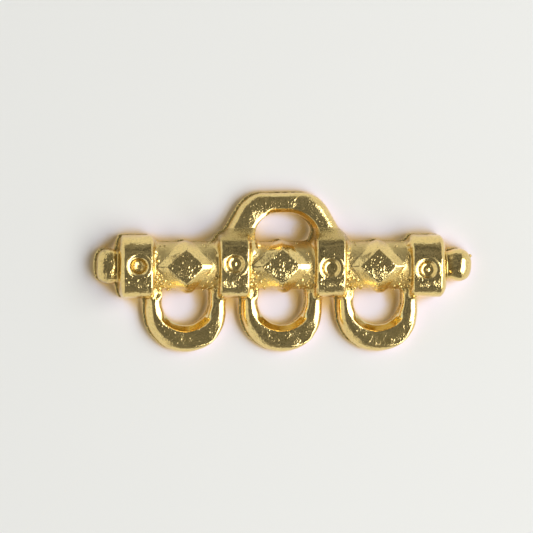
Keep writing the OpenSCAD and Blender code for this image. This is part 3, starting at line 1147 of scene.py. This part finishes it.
def openness(tree, reach, direction=None):
    """How open the surface is within reach, from 0 to 1: all round, or toward one direction."""
    node = tree.nodes.new("ShaderNodeAmbientOcclusion")
    node.samples = OPENNESS_SAMPLES
    node.inputs["Distance"].default_value = reach * MM
    if direction is not None:
        pointer = tree.nodes.new("ShaderNodeCombineXYZ")
        for axis, part in zip("XYZ", direction):
            pointer.inputs[axis].default_value = part
        tree.links.new(pointer.outputs["Vector"], node.inputs["Normal"])
    return node.outputs["AO"]


def pale_paper():
    """Matt paper, tinted round the casting and in its shadow."""
    material, tree, shader = new_material("pale_paper")
    window = toward(*WINDOW_PLACE)
    all_round = openness(tree, NEAR_REACH)
    to_window = openness(tree, SHADE_REACH, window)
    touching = openness(tree, CONTACT_REACH, window)
    tone = tinted(tree, PAPER, NEAR_PAPER, ramp(tree, all_round, *NEAR_RANGE))
    enclosed = ramp(tree, all_round, *ENCLOSED_RANGE)
    in_shade = tinted(tree, OPEN_SHADE, ENCLOSED_SHADE, enclosed)
    tone = tinted(tree, tone, in_shade, ramp(tree, to_window, *SHADE_RANGE))
    tucked = ramp(tree, all_round, *TUCKED_RANGE)
    contact = ramp(tree, touching, *CONTACT_RANGE)
    contact = maths(tree, "SUBTRACT", contact, tucked)
    contact = maths(tree, "MAXIMUM", contact, 0.0)
    tree.links.new(tinted(tree, tone, CONTACT_SHADE, contact), shader.inputs["Base Color"])
    glow = maths(tree, "MULTIPLY", ramp(tree, to_window, *GLOW_RANGE), tucked)
    shader.inputs["Emission Color"].default_value = GLOW
    tree.links.new(glow, shader.inputs["Emission Strength"])
    shader.inputs["Roughness"].default_value = PAPER_ROUGHNESS
    shader.inputs["Specular IOR Level"].default_value = PAPER_SHINE
    return material


def floor():
    bpy.ops.mesh.primitive_plane_add(size=4.0, location=(0.0, 0.0, 0.0))
    plane = bpy.context.object
    plane.name = "floor"
    plane.data.materials.append(pale_paper())
    return plane


def area_light(name, direction, distance, width, height, radiance):
    """A rectangular light that faces the object. Radiance is what a mirror would show."""
    light = bpy.data.lights.new(name, "AREA")
    light.shape = "RECTANGLE"
    light.size = width
    light.size_y = height
    light.energy = radiance * math.pi * width * height
    lamp = bpy.data.objects.new(name, light)
    lamp.location = direction.normalized() * distance
    lamp.rotation_euler = direction.to_track_quat("Z", "Y").to_euler()
    lamp.visible_camera = False
    bpy.context.scene.collection.objects.link(lamp)
    return lamp


# The room that the gold mirrors, as radiances: dark overhead and along the bar's two sides,
# a pale wall low on the left, another low on the right, and a window over that one
OVERHEAD = 0.05
OVERHEAD_PATCHES = 0.29
HORIZON = 0.28
LEFT_WALL = 0.8
RIGHT_WALL = 0.78
WINDOW = 4.6
ROOM_TINT = (1.0, 1.0, 0.985, 1.0)
# The overhead's patches: how many to a unit of direction, their detail, and where they begin and are full
PATCHES = (11.0, 1.0, 0.33, 0.67)
# Parts of a direction where each begins and where it is full: upward for the horizon and the walls' tops,
# sideways for the walls' ends
HORIZON_RANGE = (0.5, 0.0)
LEFT_WALL_TOP = (0.74, 0.6)
LEFT_WALL_END = (-0.3, -0.5)
RIGHT_WALL_TOP = (0.66, 0.56)
RIGHT_WALL_END = (0.3, 0.5)


def room():
    """Light from all around: dim overhead, with a pale wall low on the left and one low on the right."""
    world = bpy.data.worlds.new("room")
    world.use_nodes = True
    tree = world.node_tree
    direction = tree.nodes.new("ShaderNodeTexCoord").outputs["Generated"]
    parts = tree.nodes.new("ShaderNodeSeparateXYZ")
    tree.links.new(direction, parts.inputs["Vector"])
    up = parts.outputs["Z"]
    sideways = parts.outputs["X"]
    level = blend_to(tree, OVERHEAD, OVERHEAD_PATCHES, patches(tree, direction, *PATCHES))
    level = blend_to(tree, level, HORIZON, ramp(tree, up, *HORIZON_RANGE))
    for wall, top, end in (
        (LEFT_WALL, LEFT_WALL_TOP, LEFT_WALL_END),
        (RIGHT_WALL, RIGHT_WALL_TOP, RIGHT_WALL_END),
    ):
        low = ramp(tree, up, *top)
        amount = maths(tree, "MULTIPLY", low, ramp(tree, sideways, *end))
        level = blend_to(tree, level, wall, amount)
    tree.links.new(level, tree.nodes["Background"].inputs["Strength"])
    tree.nodes["Background"].inputs["Color"].default_value = ROOM_TINT
    bpy.context.scene.world = world


def lights():
    area_light("window", toward(*WINDOW_PLACE), WINDOW_DISTANCE, *WINDOW_SIZE, WINDOW)
    room()


# Camera: the photograph's frame is 533 pixels wide, and the casting's box centre lies at this pixel
FRAME_PX = 533
BOX_CENTRE_PX = (284.0, 272.25)
PX_PER_MM = 12.6
VIEW_TILT_LEFT = 5.0
VIEW_TILT_UP = 2.5
VIEW_DISTANCE = 0.6


def camera():
    data = bpy.data.cameras.new("camera")
    field = FRAME_PX / PX_PER_MM * MM
    data.sensor_width = 36.0
    data.lens = data.sensor_width * VIEW_DISTANCE / field
    data.clip_start = 0.01
    data.clip_end = 20.0
    target = Vector((
        (FRAME_PX / 2 - BOX_CENTRE_PX[0]) / PX_PER_MM,
        (BOX_CENTRE_PX[1] - FRAME_PX / 2) / PX_PER_MM,
        AXIS_Z,
    )) * MM
    to_camera = Vector((
        -math.tan(math.radians(VIEW_TILT_LEFT)),
        math.tan(math.radians(VIEW_TILT_UP)),
        1.0,
    )).normalized()
    eye = bpy.data.objects.new("camera", data)
    right = Vector((0.0, 1.0, 0.0)).cross(to_camera).normalized()
    turn = Matrix((right, to_camera.cross(right), to_camera)).transposed()
    eye.matrix_world = Matrix.Translation(target + to_camera * VIEW_DISTANCE) @ turn.to_4x4()
    bpy.context.scene.collection.objects.link(eye)
    bpy.context.scene.camera = eye


casting_piece = build_casting()
casting_piece.data.materials.append(gold_plate())
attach(casting_piece, "root")
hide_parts(NODE)
floor()
lights()
camera()
bpy.context.scene.view_settings.view_transform = "Standard"
